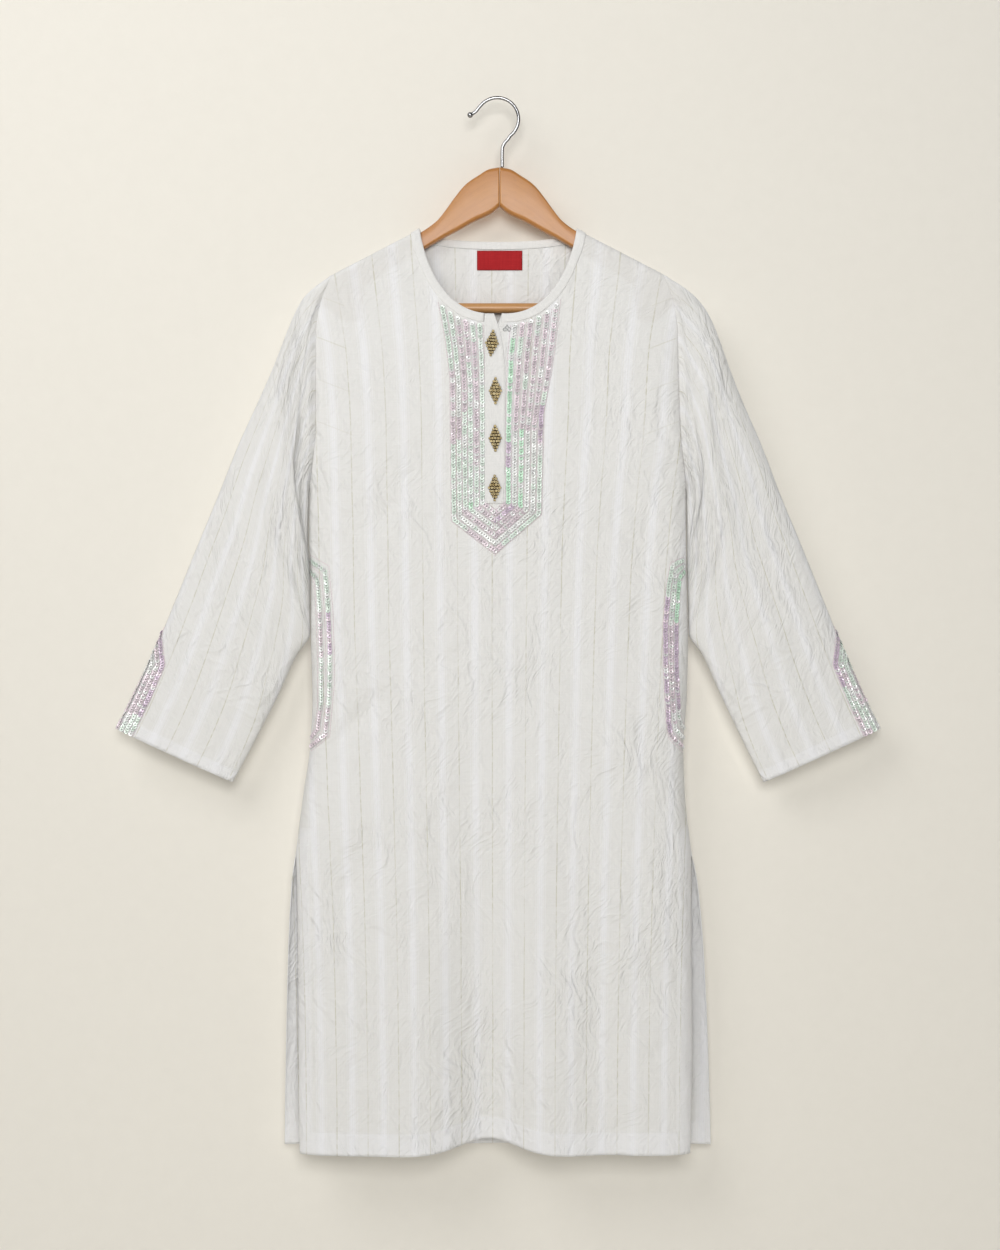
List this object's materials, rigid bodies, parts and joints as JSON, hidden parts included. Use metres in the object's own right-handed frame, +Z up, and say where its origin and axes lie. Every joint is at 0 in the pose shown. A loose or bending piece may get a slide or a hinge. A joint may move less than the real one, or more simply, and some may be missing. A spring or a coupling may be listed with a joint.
{
  "type": "kurta tunic on a wooden coat hanger",
  "caption": "Long-sleeved striped cotton kurta tunic with a beaded yoke and side vents, hanging on a two-piece wooden coat hanger with a wire hook.",
  "frame": {"origin": "the underside of the top of the hanger's hook, where a nail or rail carries it", "axes": "+Z up; the garment's front faces -Y; +X is to the right as the front is seen"},
  "size_m": [0.838, 0.0603, 1.1547],
  "materials": {
    "striped_cotton": "thin white cotton with satin and dobby stripes",
    "plain_cotton": "plain white cotton, doubled",
    "woven_label": "red woven ribbon",
    "antique_gold": "antique gold beads",
    "nickel_wire": "nickel-plated wire",
    "varnished_beech": "honey-brown varnished beech",
    "chrome_wire": "bright chrome plate"
  },
  "bodies": {
    "root": {"front_panel": "striped_cotton", "back_panel": "striped_cotton", "sleeve_left": "striped_cotton", "sleeve_right": "striped_cotton", "neck_band": "plain_cotton", "placket_strip": "plain_cotton", "armhole_facing_left": "striped_cotton", "armhole_facing_right": "striped_cotton", "label": "woven_label", "button_1": "antique_gold", "button_2": "antique_gold", "button_3": "antique_gold", "button_4": "antique_gold", "hook_and_eye": "nickel_wire", "hanger_arm_left": "varnished_beech", "hanger_arm_right": "varnished_beech", "hanger_bar": "varnished_beech", "hanger_hook": "chrome_wire"}
  },
  "joints": []
}
